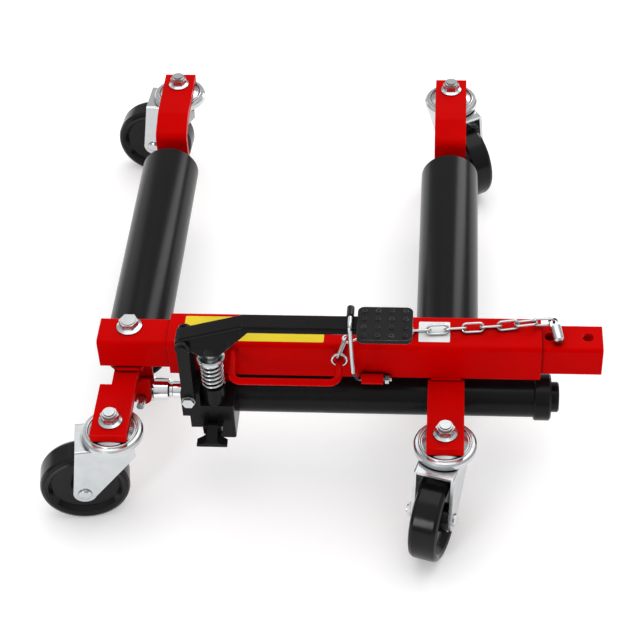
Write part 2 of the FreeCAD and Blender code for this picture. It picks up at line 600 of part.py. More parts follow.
keep("pump_barrel", turned("pump_barrel_body", [
    ("plunger_dia / 2 + run_fit", BLOCK_HIGH), ("barrel_dia / 2", BLOCK_HIGH), ("barrel_dia / 2", "barrel_top - 0.5"),
    ("barrel_dia / 2 - 0.5", "barrel_top"), ("plunger_dia / 2 + run_fit", "barrel_top")], ("pump_x", "pump_y", "0")))
PIN_Z = "pivot_z - 10"
keep("pump_plunger", turned("plunger_body", [
    ("0", "ram_z + 6"), ("plunger_dia / 2 - 1", "ram_z + 6"), ("plunger_dia / 2", "ram_z + 7"),
    ("plunger_dia / 2", "cap_under"), ("14.7", "cap_under"), ("15.2", "cap_under + 0.5"),
    ("15.2", "cap_under + 3"), ("13.7", "cap_under + 4.5"),
    ("plunger_dia / 2 + 1", "cap_under + 4.5"), ("plunger_dia / 2 + 1", PIN_Z + " - pivot_dia / 2 - 1.3"),
    ("plunger_dia / 2", PIN_Z + " - pivot_dia / 2 - 0.3"), ("0", PIN_Z + " - pivot_dia / 2 - 0.3")],
    ("pump_x", "pump_y", "0")))
links = []
for name, where, low in (("near", BLOCK_NEAR + " - 3", "ram_z + 28"), ("far", "pump_y + lever_wide / 2 + 1.5", BOSS_HIGH)):
    flat = join("link_whole_" + name, [
        box("link_flat_" + name, ("13", "3", "pivot_z - (%s)" % low), ("pivot_x - 6.5", where, low)),
        rod("link_round_" + name, "16", "3", ("pivot_x", where, "pivot_z"), "y")])
    links.append(cut("link_" + name, flat, [
        rod("link_hole_" + name, "pivot_dia + 2 * seat_fit", "20", ("pivot_x", where + " - 5", "pivot_z"), "y")]))
group("pump_links", links)
keep("pivot_pin", turned("pivot_pin_body", [
    ("0", "0"), ("pivot_dia / 2 - 0.8", "0"), ("pivot_dia / 2", "0.8"), ("pivot_dia / 2", "lever_wide + 9.5"),
    ("0", "lever_wide + 9.5")], ("pivot_x", BLOCK_NEAR + " - 5", "pivot_z"), "y"))
keep("link_bolt", join("link_bolt_whole", [
    hexagon("link_bolt_hex", "12", "5", ("pivot_x", BLOCK_NEAR + " - 8", "ram_z + 37"), "y"),
    rod("link_bolt_washer", "15", "1.5", ("pivot_x", BLOCK_NEAR + " - 4.5", "ram_z + 37"), "y")]))

# Pedal: a folded channel that turns on the pivot pin and presses the plunger, with a studded foot pad.
PAD_LEFT = "handle_right + 22"
lever_left = "pivot_x - 8"
lever_end = "%s + pad_long - 6" % PAD_LEFT
channel = front_plate("lever_skin", [
    (lever_left, "pivot_z - 7"), (lever_left, "pivot_z + 6"), (lever_left + " + 4", "pivot_z + 8"),
    ("pivot_x + 65", "lever_top"), (lever_end, "lever_top"), (lever_end, "lever_top - 8"),
    ("pivot_x + 71", "lever_top - 8"), ("pump_x + 10", "pivot_z - 15.5"), ("pump_x - 9", "pivot_z - 15.5"),
    ("pivot_x + 9", "pivot_z - 9")],
    "pump_y - lever_wide / 2", "lever_wide")
channel = rounded("lever_folds", channel, 3.5, lambda e: e.BoundBox.YLength < 0.01 and e.Length > 50
                  and e.CenterOfMass.z > size("pivot_z") + 12 and abs(e.CenterOfMass.z - size("lever_top")) < 12
                  and e.CenterOfMass.z > size("lever_top") - 11 + (0 if e.CenterOfMass.x < size("pivot_x") + 60 else 9))
inside = front_plate("lever_inside", [
    (lever_left + " - 3", "pivot_z - 60"), (lever_left + " - 3", "pivot_z + 4"), (lever_left + " + 4", "pivot_z + 5"),
    ("pivot_x + 65.5", "lever_top - lever_sheet"), (lever_end + " - lever_sheet", "lever_top - lever_sheet"),
    (lever_end + " - lever_sheet", "pivot_z - 60")],
    "pump_y - lever_wide / 2 + lever_sheet", "lever_wide - 2 * lever_sheet")
keep("pedal_lever", cut("lever_drilled", channel, [
    inside,
    rod("lever_pivot_hole", "pivot_dia + 2 * run_fit", "60", ("pivot_x", "pump_y - 30", "pivot_z"), "y"),
    rod("lever_pin_hole", "pivot_dia + 2 * seat_fit", "60", ("pump_x", "pump_y - 30", PIN_Z), "y")]))
keep("plunger_pin", turned("plunger_pin_body", [
    ("0", "0"), ("pivot_dia / 2", "0"), ("pivot_dia / 2", "lever_wide + 0.6"), ("0", "lever_wide + 0.6")],
    ("pump_x", "pump_y - lever_wide / 2 - 0.3", PIN_Z), "y"))
PAD_NEAR = "pump_y - 6.5 - pad_deep / 2"
pad = rounded("pad_corners", box("pad_plate", ("pad_long", "pad_deep", "5"), (PAD_LEFT, PAD_NEAR, "lever_top")), 7, upright)
studs = []
STUD_ROWS = 4
STUD_COLUMNS = 4
for row in range(STUD_ROWS):
    for column in range(STUD_COLUMNS):
        where = ("%s + pad_long * %d / %d" % (PAD_LEFT, 2 * column + 1, 2 * STUD_COLUMNS),
                 "%s + pad_deep * %d / %d" % (PAD_NEAR, 2 * row + 1, 2 * STUD_ROWS), "lever_top + 4")
        studs.append(rod("stud_%d_%d" % (row, column), "5", "2.4", where))
keep("foot_pad", join("pad_whole", [pad] + studs))

# Return spring: ground flat at rest between the barrel and the plunger's cap, wound as one tube.
coil_r = (size("spring_dia") - size("spring_wire")) / 2
wire_r = size("spring_wire") / 2
coil_low = size("barrel_top") + wire_r + 0.3
coil_high = size("cap_under") - wire_r - 0.3
COIL_TURNS = 6
QUARTERS = 4 * COIL_TURNS
coil_points = []
coil_ways = []
rise = (coil_high - coil_low) / (2 * math.pi * COIL_TURNS)
for n in range(QUARTERS + 1):
    angle = n * math.pi / 2
    coil_points.append(V(size("pump_x") + coil_r * math.cos(angle), size("pump_y") + coil_r * math.sin(angle),
                         coil_low + rise * angle))
    coil_ways.append(V(-coil_r * math.sin(angle), coil_r * math.cos(angle), rise).normalize())
coil = []
for n in range(QUARTERS):
    coil += biarc(coil_points[n], coil_ways[n], coil_points[n + 1], coil_ways[n + 1])
tail = size("spring_wire")
coil.insert(0, Part.LineSegment(coil_points[0] - coil_ways[0] * tail, coil_points[0]).toShape())
coil.append(Part.LineSegment(coil_points[-1], coil_points[-1] + coil_ways[-1] * tail).toShape())
keep("return_spring", wire_along("return_spring", coil, size("spring_wire")))
print("least gap between spring coils: %.2f mm" % ((coil_high - coil_low) / COIL_TURNS - size("spring_wire")))

# Release pedal: a small flared foot lever on a pin in front of the pump block.
barrel = rod("release_barrel", "11", "11.4", ("pump_x - 8.7",) + RELEASE[1:], "x")
tread = side_plate("release_tread", [
    ("%s - 2" % RELEASE[1], "ram_z + 3.5"), ("%s - 18" % RELEASE[1], "ram_z - 9"), ("%s - 18" % RELEASE[1], "ram_z - 14"),
    ("%s - 11" % RELEASE[1], "ram_z - 12"), (RELEASE[1], "ram_z - 7"), (RELEASE[1], "ram_z + 3.5")],
    "pump_x - 21", "36")
flare = front_plate("release_flare", [
    ("pump_x - 8.7", "ram_z + 6"), ("pump_x + 2.7", "ram_z + 6"), ("pump_x + 2.7", "ram_z - 7.3"), ("pump_x + 7", "ram_z - 9.5"),
    ("pump_x + 14", "ram_z - 11"), ("pump_x + 14", "ram_z - 20"), ("pump_x - 20", "ram_z - 20"),
    ("pump_x - 20", "ram_z - 11"), ("pump_x - 13", "ram_z - 9.5"), ("pump_x - 8.7", "ram_z - 7.3")],
    RELEASE[1] + " - 24", "30")
shaped = doc.addObject("Part::Common", "release_paddle")
shaped.Base = tread
shaped.Tool = flare
keep("release_pedal", cut("release_drilled", join("release_whole", [barrel, shaped]), [
    rod("release_pin_hole", "6 + 2 * run_fit", "40", ("pump_x - 23",) + RELEASE[1:], "x")]))
keep("release_pin", rod("release_pin_body", "6", "22", ("pump_x - 14",) + RELEASE[1:], "x"))

# Carry handle: one bent rod welded to the outer tube's front face.
handle_z = size("tube_top") - 11
face = size("face_y")
handle_path = bent_path([
    V(size("handle_left") - 3, face, handle_z), V(size("handle_left"), face - size("handle_out"), handle_z),
    V(size("handle_right"), face - size("handle_out"), handle_z), V(size("handle_right"), face, handle_z)], 10)
keep("carry_handle", wire_along("carry_handle", handle_path, size("handle_dia")))

# Pedal latch: a bent wire that turns in a welded barrel and hooks over the lever.
TAB_LEFT = "handle_right + 23"
keep("latch_barrel", cut("latch_barrel_bored", rod("latch_barrel_body", "2 * (face_y - latch_y)", "24", (TAB_LEFT, "latch_y", "latch_z"), "x"), [
    rod("latch_bore", "wire_dia + 2 * run_fit", "60", ("handle_right + 9", "latch_y", "latch_z"), "x")]))
LATCH_X = size("handle_right") + 14.5
hook_y = value("pump_y - lever_wide / 2") - size("wire_dia") / 2 - 2.6
hook_z = size("lever_top") + 8
latch_path = bent_path([
    V(LATCH_X + 41.5, size("latch_y"), size("latch_z")), V(LATCH_X + 3.5, size("latch_y"), size("latch_z")),
    V(LATCH_X + 2, hook_y, size("latch_z") + 46), V(LATCH_X, hook_y, hook_z), V(LATCH_X, face - 13, hook_z)], 5)
keep("latch_wire", wire_along("latch_wire", latch_path, size("wire_dia")))
cap_at = (str(LATCH_X), "face_y - 24", str(hook_z))
keep("latch_cap", cut("latch_cap_bored", rod("latch_cap_body", "8", "13", cap_at, "y"), [
    rod("latch_cap_bore", "wire_dia + 2 * seat_fit", "11.5", cap_at, "y")]))
keep("latch_nut", cut("latch_nut_bored", hexagon("latch_nut_body", "9", "4", ("handle_right + 49", "latch_y", "latch_z"), "x"), [
    rod("latch_nut_bore", "wire_dia + 2 * seat_fit", "10", ("handle_right + 47", "latch_y", "latch_z"), "x")]))

# Lock pin, drawn out and lying over its hole, with a flattened, drilled end for its chain.
pin_r = size("pin_dia") / 2
pin_body = turned("lock_pin_body", [("0", "0"), ("pin_dia / 2 - 2", "0"), ("pin_dia / 2", "2"),
                                    ("pin_dia / 2", "pin_long - 1"), ("pin_dia / 2 - 1", "pin_long"), ("0", "pin_long")],
                  ("0", "-pin_long / 2", "0"), "y")
flats = [box("pin_flat_left", ("10", "14", "20"), ("2.1", "pin_long / 2 - 13", "-10")),
         box("pin_flat_right", ("10", "14", "20"), ("-12.1", "pin_long / 2 - 13", "-10"))]
eye_hole = rod("pin_eye", "7.2", "40", ("-20", "pin_long / 2 - 6.5", "0"), "x")
pin_master = cut("pin_master", pin_body, flats + [eye_hole])
PIN_YAW = 14
PIN_TILT = 20
pin_turn = FreeCAD.Rotation(V(0, 0, 1), PIN_YAW).multiply(FreeCAD.Rotation(V(1, 0, 0), PIN_TILT)).multiply(
    FreeCAD.Rotation(V(0, 1, 0), 90))
pin_lift = (size("pin_long") / 2 * math.sin(math.radians(PIN_TILT)) + pin_r * math.cos(math.radians(PIN_TILT)) + 0.3)
pin_spot = V(value("outer_len / 2 + inner_right - hole_edge - hole_pitch") + 6, 0.5,
             value("tube_z + inner_size / 2") + pin_lift)
keep("lock_pin", copied("lock_pin_placed", pin_master, FreeCAD.Placement(pin_spot, pin_turn)))

# Tether chain: welded links from a ring on the carry handle to the lock pin's eye, lying on the beam.
link_r = size("chain_wire") / 2
link_bend = size("chain_gap") / 2 + link_r
link_straight = size("chain_pitch") - size("chain_gap")
link_parts = []
for name, shift, turn in (("right", link_straight / 2, -90), ("left", -link_straight / 2, 90)):
    bow = doc.addObject("Part::Torus", "link_bow_" + name)
    bow.Radius1 = link_bend
    bow.Radius2 = link_r
    bow.Angle3 = 180
    bow.Placement = FreeCAD.Placement(V(shift, 0, 0), FreeCAD.Rotation(V(0, 0, 1), turn))
    link_parts.append(bow)
for name, aside in (("near", -link_bend), ("far", link_bend)):
    link_parts.append(rod("link_side_" + name, str(2 * link_r), str(link_straight),
                          (str(-link_straight / 2), str(aside), "0"), "x"))
link_master = join("link_master", link_parts)
ring_r = size("handle_dia") / 2 + link_r + 2.6
ring_z = handle_z + 2
ring = doc.addObject("Part::Torus", "chain_ring")
ring.Radius1 = ring_r
ring.Radius2 = link_r
ring.Placement = FreeCAD.Placement(V(size("handle_right"), face - 12, ring_z), FreeCAD.Rotation(V(1, 0, 0), 90))
chain_z = size("tube_top") + link_bend * math.sin(math.radians(45)) + link_r + 0.8
pin_eye = pin_spot + pin_turn.multVec(V(0, size("pin_long") / 2 - 6.5, 0))
chain_way = [
    V(size("handle_right"), face - 12, ring_z + ring_r),
    V(size("handle_right") + 7, face + 1, chain_z + 5.5),
    V(size("handle_right") + 30, -9, chain_z + 2),
    V(size("handle_right") + 60, -7, chain_z),
    V(pin_eye.x - 60, 4, chain_z),
    V(pin_eye.x - 22, pin_eye.y, chain_z + 2.4),
    pin_eye,
]
hang = link_r + 0.5
chain_way[0] = chain_way[0] - (chain_way[1] - chain_way[0]).normalize() * hang
chain_way[-1] = chain_way[-1] - (chain_way[-1] - chain_way[-2]).normalize() * hang
runs = [(b - a).Length for a, b in zip(chain_way, chain_way[1:])]


def chain_point(far):
    for start, end, run in zip(chain_way, chain_way[1:], runs):
        if far <= run:
            return start + (end - start) * (far / run)
        far -= run
    return chain_way[-1]


FIRST_TWIST = 80
LINK_COUNT = round(sum(runs) / (size("chain_pitch") - 0.4))
step = sum(runs) / LINK_COUNT
print("chain step %.2f of %.2f mm, %d links" % (step, size("chain_pitch"), LINK_COUNT))
chain = [ring]
for n in range(LINK_COUNT):
    start = chain_point(n * step)
    end = chain_point((n + 1) * step)
    lie = FreeCAD.Rotation(V(1, 0, 0), end - start)
    from_end = LINK_COUNT - 1 - n
    twist = max(0, 45 - 15 * from_end) + FIRST_TWIST * max(0, 1 - n / 3)
    roll = FreeCAD.Rotation(V(1, 0, 0), (-45 if from_end % 2 else 45) + twist)
    chain.append(copied("chain_link_%d" % n, link_master, FreeCAD.Placement((start + end) * 0.5, lie.multiply(roll))))
group("tether_chain", chain)
for n, link in enumerate(chain):
    for other in chain[n + 1:]:
        shared = link.Shape.common(other.Shape).Volume
        if shared > 0.01:
            print("links meet:", link.Label, other.Label, round(shared, 2))
    for piece in ("outer_tube", "inner_tube", "lock_pin", "carry_handle"):
        shared = link.Shape.common(nodes[piece].Shape).Volume
        if shared > 0.01:
            print("link meets", piece, link.Label, round(shared, 2))

# Every piece is checked, then written with the origin on the floor under the middle of the whole.
doc.recompute()
for thing in doc.Objects:
    if "Invalid" in thing.State or "Error" in thing.State:
        raise RuntimeError("%s did not build" % thing.Name)
whole = Part.makeCompound([thing.Shape for thing in nodes.values()]).BoundBox
origin = V((whole.XMin + whole.XMax) / 2, (whole.YMin + whole.YMax) / 2, 0)
for name, thing in nodes.items():
    thing.Label = name
    shape = thing.Shape
    if shape.isNull() or not shape.isValid():
        raise RuntimeError("%s is not a sound solid" % name)
    shape.translated(origin * -1).exportStep("parts/%s.step" % name)
print(len(nodes), "nodes, whole", whole)
print("origin in the sheet's frame", origin)
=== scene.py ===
import bmesh
import bpy
import math
from mathutils import Matrix, Vector


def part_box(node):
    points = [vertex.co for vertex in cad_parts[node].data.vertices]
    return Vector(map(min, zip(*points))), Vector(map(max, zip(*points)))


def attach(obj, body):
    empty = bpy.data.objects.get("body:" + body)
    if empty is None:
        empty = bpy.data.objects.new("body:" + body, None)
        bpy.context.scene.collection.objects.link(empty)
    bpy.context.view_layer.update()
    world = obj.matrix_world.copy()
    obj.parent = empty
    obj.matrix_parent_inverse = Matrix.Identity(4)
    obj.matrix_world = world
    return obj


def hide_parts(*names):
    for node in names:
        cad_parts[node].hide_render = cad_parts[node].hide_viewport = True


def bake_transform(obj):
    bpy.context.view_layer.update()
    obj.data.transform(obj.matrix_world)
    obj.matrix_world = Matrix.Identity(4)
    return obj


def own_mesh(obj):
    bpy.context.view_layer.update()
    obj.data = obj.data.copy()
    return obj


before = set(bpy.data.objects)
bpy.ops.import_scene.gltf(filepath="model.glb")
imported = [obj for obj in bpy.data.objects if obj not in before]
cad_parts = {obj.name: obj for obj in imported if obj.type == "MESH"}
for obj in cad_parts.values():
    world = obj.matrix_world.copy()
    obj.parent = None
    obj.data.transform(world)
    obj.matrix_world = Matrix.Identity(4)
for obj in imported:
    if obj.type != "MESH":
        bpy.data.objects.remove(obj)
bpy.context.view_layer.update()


# Camera: a long lens above the pump's side and a little to the right, rolled slightly with the
# picture and aimed just over the outer tube, left of its middle.
MM = 0.001
AZIMUTH = math.radians(5.798)
ELEVATION = math.radians(43.881)
ROLL = math.radians(-3.085)
DISTANCE = 1909.6 * MM
AIM_FROM_BEAM = Vector((-36.5, 0, 39.6)) * MM
FOCAL_PIXELS = 1752.7
PICTURE_PIXELS = 640
SENSOR = 36.0
FAR_CLIP = 50

tube_low, tube_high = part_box("outer_tube")
beam_middle = (tube_low + tube_high) / 2
forward = Vector((-math.sin(AZIMUTH) * math.cos(ELEVATION),
                  math.cos(AZIMUTH) * math.cos(ELEVATION),
                  -math.sin(ELEVATION)))
level_right = Vector((math.cos(AZIMUTH), math.sin(AZIMUTH), 0))
level_up = level_right.cross(forward)
right = math.cos(ROLL) * level_right + math.sin(ROLL) * level_up
up = -math.sin(ROLL) * level_right + math.cos(ROLL) * level_up
lens = bpy.data.cameras.new("camera")
lens.sensor_width = SENSOR
lens.lens = FOCAL_PIXELS * SENSOR / PICTURE_PIXELS
lens.clip_end = FAR_CLIP
camera = bpy.data.objects.new("camera", lens)
bpy.context.scene.collection.objects.link(camera)
camera_place = Matrix.Translation(beam_middle + AIM_FROM_BEAM - DISTANCE * forward)
camera_turn = Matrix((right, up, -forward)).transposed().to_4x4()
camera.matrix_world = camera_place @ camera_turn
bpy.context.scene.camera = camera


# Studio: a white floor lit a little from below like a light table, one broad softbox overhead,
# a strip behind each shoulder for the highlights along the rollers, and a small card in front
# for the gloss on the wheels. The walls are darker than the ceiling.
FLOOR_MIDDLE = (0, 0, 0)
ROLLERS = (0, 0.1, 0.1)
FRONT_WHEELS = (0.2, -0.2, 0.06)
HORIZON_GREY = (0.36, 0.36, 0.37, 1)
CEILING_WHITE = (0.86, 0.86, 0.86, 1)
WALL_FOOT = 0.1
WALL_TOP = 0.95
FLOOR_HALF = 20.0
FLOOR_WHITE = (0.92, 0.92, 0.92, 1)
FLOOR_ROUGH = 0.9
FLOOR_GLOW = 0.2
WHITE = (1, 1, 1, 1)
MIX_MASK = 0
MIX_BELOW = 6
MIX_ABOVE = 7
MIX_COLOUR = 2


def softbox(name, place, aim, width, depth, watts):
    light = bpy.data.lights.new(name, "AREA")
    light.shape = "RECTANGLE"
    light.size = width
    light.size_y = depth
    light.energy = watts
    lamp = bpy.data.objects.new(name, light)
    bpy.context.scene.collection.objects.link(lamp)
    lamp.location = place
    lamp.rotation_euler = (Vector(aim) - Vector(place)).to_track_quat("-Z", "Y").to_euler()


softbox("overhead_softbox", place=(0.1, 0.3, 2.2), aim=FLOOR_MIDDLE, width=2.4, depth=2.4, watts=21)
softbox("left_strip", place=(-1.6, 1.6, 0.9), aim=ROLLERS, width=0.5, depth=1.6, watts=2.2)
softbox("right_strip", place=(1.25, 1.9, 1.3), aim=ROLLERS, width=0.6, depth=1.6, watts=14)
softbox("front_card", place=(-1.0, -2.1, 0.95), aim=FRONT_WHEELS, width=0.45, depth=0.7, watts=11)


def add(tree, kind, values=None, **settings):
    node = tree.nodes.new(kind)
    for setting, choice in settings.items():
        setattr(node, setting, choice)
    for socket, amount in (values or {}).items():
        if isinstance(amount, bpy.types.NodeSocket):
            tree.links.new(amount, node.inputs[socket])
        else:
            node.inputs[socket].default_value = amount
    return node


def blend_colour(tree, mask, below, above):
    values = {MIX_MASK: mask, MIX_BELOW: below, MIX_ABOVE: above}
    return add(tree, "ShaderNodeMix", values, data_type="RGBA").outputs[MIX_COLOUR]


world = bpy.data.worlds.new("studio")
bpy.context.scene.world = world
world.use_nodes = True
room = world.node_tree
look = add(room, "ShaderNodeTexCoord").outputs["Generated"]
look_height = add(room, "ShaderNodeSeparateXYZ", {"Vector": look}).outputs["Z"]
fade = add(room, "ShaderNodeMapRange",
           {"Value": look_height, "From Min": WALL_FOOT, "From Max": WALL_TOP}).outputs["Result"]
walls = blend_colour(room, fade, HORIZON_GREY, CEILING_WHITE)
room.links.new(walls, room.nodes["Background"].inputs["Color"])
bpy.context.scene.view_settings.view_transform = "Standard"

sweep = bmesh.new()
bmesh.ops.create_grid(sweep, x_segments=1, y_segments=1, size=FLOOR_HALF)
floor_mesh = bpy.data.meshes.new("floor")
sweep.to_mesh(floor_mesh)
sweep.free()
floor = bpy.data.objects.new("floor", floor_mesh)
bpy.context.scene.collection.objects.link(floor)
floor_paint = bpy.data.materials.new("floor_white")
floor_paint.use_nodes = True
floor_shader = floor_paint.node_tree.nodes["Principled BSDF"]
floor_shader.inputs["Base Color"].default_value = FLOOR_WHITE
floor_shader.inputs["Roughness"].default_value = FLOOR_ROUGH
floor_shader.inputs["Emission Color"].default_value = WHITE
floor_shader.inputs["Emission Strength"].default_value = FLOOR_GLOW
floor_mesh.materials.append(floor_paint)


# Beam: two square steel tubes, one sliding in the other, sawn to length and powder coated
# gloss red. The coat has a faint ripple, is a touch thin on the edges and holds a little dust,
# and its corners and crevices are darkened with painted shade.
DUST = (0.42, 0.38, 0.34, 1)
# Painted shade: a near-black colour mixed in where the ambient-occlusion mask finds corners, crevices
# and gaps between parts.
PAINTED_SHADE = (0.004, 0.0035, 0.0035, 1)
SHADE_REACH = 5.0 * MM
POWDER_RED = (0.53, 0.0, 0.0, 1)
POWDER_SHADE = (0.48, 0.0, 0.0, 1)
POWDER_GLOSS = (1.0, 0.2, 0.2, 1)
THIN_RED = (0.72, 0.05, 0.04, 1)


def effect_group(name, inputs, output):
    group = bpy.data.node_groups.new(name, "ShaderNodeTree")
    for socket, kind, amount in inputs:
        made = group.interface.new_socket(socket, in_out="INPUT", socket_type=kind)
        if amount is not None:
            made.default_value = amount
    group.interface.new_socket(output, in_out="OUTPUT", socket_type="NodeSocketFloat")
    return group, group.nodes.new("NodeGroupInput"), group.nodes.new("NodeGroupOutput")


def product(tree, first, second):
    return add(tree, "ShaderNodeMath", {0: first, 1: second}, operation="MULTIPLY").outputs["Value"]


ripple, ripple_in, ripple_out = effect_group("surface_ripple", [
    ("Vector", "NodeSocketVector", None),
    ("Grain", "NodeSocketFloat", 400.0)], "Height")
peel = add(ripple, "ShaderNodeTexNoise", {
    "Vector": ripple_in.outputs["Vector"], "Scale": ripple_in.outputs["Grain"],
    "Detail": 2.0, "Roughness": 0.45})
ripple.links.new(peel.outputs["Fac"], ripple_out.inputs["Height"])

marks, marks_in, marks_out = effect_group("handling_marks", [
    ("Vector", "NodeSocketVector", None),
    ("Scale", "NodeSocketFloat", 30.0),
    ("Spread", "NodeSocketFloat", 0.6)], "Mask")
cloud = add(marks, "ShaderNodeTexNoise", {
    "Vector": marks_in.outputs["Vector"], "Scale": marks_in.outputs["Scale"],
    "Detail": 6.0, "Roughness": 0.62})
spread = add(marks, "ShaderNodeMapRange", {
    "Value": cloud.outputs["Fac"], "From Min": 0.42, "From Max": 0.72,
    "To Max": marks_in.outputs["Spread"]})
marks.links.new(spread.outputs["Result"], marks_out.inputs["Mask"])

# Edge colour: a lighter colour in patches along sharp edges. On most finishes it is worn coat; on the
# pedal lever it is a painted highlight and on the foot pad a painted glint.
wear_and_highlight, wear_and_highlight_in, wear_and_highlight_out = effect_group("edge_wear_and_highlight", [
    ("Vector", "NodeSocketVector", None),
    ("Radius", "NodeSocketFloat", 1.2 * MM),
    ("Amount", "NodeSocketFloat", 0.5)], "Mask")
soft_edge = add(wear_and_highlight, "ShaderNodeBevel", {"Radius": wear_and_highlight_in.outputs["Radius"]}, samples=4)
facing = add(wear_and_highlight, "ShaderNodeNewGeometry")
turn = add(wear_and_highlight, "ShaderNodeVectorMath",
           {0: soft_edge.outputs["Normal"], 1: facing.outputs["Normal"]}, operation="DOT_PRODUCT")
edge = add(wear_and_highlight, "ShaderNodeMapRange",
           {"Value": turn.outputs["Value"], "From Min": 0.995, "From Max": 0.86})
edge_patch_noise = add(wear_and_highlight, "ShaderNodeTexNoise",
          {"Vector": wear_and_highlight_in.outputs["Vector"], "Scale": 60.0, "Detail": 4.0})
patchy = add(wear_and_highlight, "ShaderNodeMapRange",
             {"Value": edge_patch_noise.outputs["Fac"], "From Min": 0.38, "From Max": 0.62})
worn_and_lit = product(wear_and_highlight, edge.outputs["Result"], patchy.outputs["Result"])
wear_and_highlight.links.new(product(wear_and_highlight, worn_and_lit, wear_and_highlight_in.outputs["Amount"]), wear_and_highlight_out.inputs["Mask"])

dust, dust_in, dust_out = effect_group("settled_dust", [
    ("Vector", "NodeSocketVector", None),
    ("Amount", "NodeSocketFloat", 0.1)], "Mask")
upward = add(dust, "ShaderNodeNewGeometry")
slope = add(dust, "ShaderNodeSeparateXYZ", {"Vector": upward.outputs["Normal"]})
level = add(dust, "ShaderNodeMapRange",
            {"Value": slope.outputs["Z"], "From Min": 0.5, "From Max": 1.0})
drift = add(dust, "ShaderNodeTexNoise",
            {"Vector": dust_in.outputs["Vector"], "Scale": 22.0, "Detail": 5.0})
film = product(dust, level.outputs["Result"], drift.outputs["Fac"])
dust.links.new(product(dust, film, dust_in.outputs["Amount"]), dust_out.inputs["Mask"])

# Painted shade: an ambient-occlusion mask, high in corners, crevices and gaps between parts, that
# darkens the colour there.
corner_shade, corner_shade_in, corner_shade_out = effect_group("painted_crevice_shade", [
    ("Reach", "NodeSocketFloat", 4.0 * MM),
    ("Amount", "NodeSocketFloat", 0.5)], "Mask")
shelter = add(corner_shade, "ShaderNodeAmbientOcclusion",
              {"Distance": corner_shade_in.outputs["Reach"]}, samples=8)
hollow = add(corner_shade, "ShaderNodeMapRange",
             {"Value": shelter.outputs["AO"], "From Min": 0.9, "From Max": 0.35})
shade_depth = product(corner_shade, hollow.outputs["Result"], corner_shade_in.outputs["Amount"])
corner_shade.links.new(shade_depth, corner_shade_out.inputs["Mask"])


def place_group(tree, group, values):
    return add(tree, "ShaderNodeGroup", values, node_tree=group).outputs[0]


def finish_of(name, body, shade, edge_colour, rough, rough_marked, grain, depth, metal=0.0,
              wear_and_highlight_share=0.4, edge_band_radius=1.2 * MM, marks_scale=24.0, dust_share=0.06,
              specular=0.5, gloss_tint=WHITE, painted_shade_share=0.3):
    material = bpy.data.materials.new(name)
    material.use_nodes = True
    tree = material.node_tree
    shader = tree.nodes["Principled BSDF"]
    place = add(tree, "ShaderNodeTexCoord").outputs["Object"]
    clouds = place_group(tree, marks, {"Vector": place, "Scale": marks_scale, "Spread": 1.0})
    worn_and_lit_edges = place_group(tree, wear_and_highlight, {"Vector": place, "Radius": edge_band_radius, "Amount": wear_and_highlight_share})
    dusty = place_group(tree, dust, {"Vector": place, "Amount": dust_share})
    shaded_corners = place_group(tree, corner_shade, {"Reach": SHADE_REACH, "Amount": painted_shade_share})
    height = place_group(tree, ripple, {"Vector": place, "Grain": grain})
    colour = blend_colour(tree, clouds, body, shade)
    # Lighter edges: worn coat, and on the pedal lever and foot pad a painted highlight.
    colour = blend_colour(tree, worn_and_lit_edges, colour, edge_colour)
    colour = blend_colour(tree, dusty, colour, DUST)
    # Painted shade: darken the colour in corners, crevices and gaps between parts.
    colour = blend_colour(tree, shaded_corners, colour, PAINTED_SHADE)
    tree.links.new(colour, shader.inputs["Base Color"])
    gloss = add(tree, "ShaderNodeMapRange", {"Value": clouds, "To Min": rough, "To Max": rough_marked})
    tree.links.new(gloss.outputs["Result"], shader.inputs["Roughness"])
    bump = add(tree, "ShaderNodeBump", {"Strength": 1.0, "Distance": depth, "Height": height})
    tree.links.new(bump.outputs["Normal"], shader.inputs["Normal"])
    shader.inputs["Metallic"].default_value = metal
    shader.inputs["Specular IOR Level"].default_value = specular
    shader.inputs["Specular Tint"].default_value = gloss_tint
    return material


def dress(material, *names):
    for name in names:
        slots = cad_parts[name].data.materials
        slots.clear()
        slots.append(material)


powder_red = finish_of("gloss_red_powder_coat", POWDER_RED, POWDER_SHADE, THIN_RED,
                       rough=0.3, rough_marked=0.38, grain=420.0, depth=0.04 * MM,
                       dust_share=0.005, specular=0.03, gloss_tint=POWDER_GLOSS, painted_shade_share=0.85)
dress(powder_red, "outer_tube", "inner_tube")


# Arms: brackets bent from flat bar in a press. The right front one is welded under the outer
# tube, the left front one is bolted to the inner tube through a packing plate, and the rear
# ones are carried by the roller axles. The bolt is zinc plated.
ZINC = (0.60, 0.62, 0.63, 1)
ZINC_SHADE = (0.54, 0.56, 0.57, 1)
ZINC_EDGE = (0.80, 0.81, 0.82, 1)
dress(powder_red, "right_front_bracket", "right_rear_bracket", "left_front_bracket",
      "left_rear_bracket", "arm_packing")
bright_zinc = finish_of("bright_zinc_plate", ZINC, ZINC_SHADE, ZINC_EDGE,
                        rough=0.22, rough_marked=0.28, grain=900.0, depth=0.01 * MM, metal=1.0,
                        marks_scale=55.0, dust_share=0.02, painted_shade_share=0.9)
dress(bright_zinc, "arm_bolt")


# Weld beads: a short run of rippled bead along each seam where the outer tube meets the right
# arm's bracket, and along the left arm's packing plate, painted over with the rest.
BEAD_RADIUS = 2.6 * MM
BEAD_STEP = 1.6 * MM
BEAD_FEWEST = 4
BEAD_SWELL = 1.16
BEAD_TIP = 0.6
BEAD_SIDES = 10
SEAM_INSET = 3.0 * MM
SEAM_DEPTH = 1.2 * MM
SEAM_RISE = 1.0 * MM


def keep_piece(name, mesh, material, body=None):
    data = bpy.data.meshes.new(name)
    mesh.to_mesh(data)
    mesh.free()
    data.materials.append(material)
    piece = bpy.data.objects.new(name, data)
    bpy.context.scene.collection.objects.link(piece)
    if body:
        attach(piece, body)
    return piece


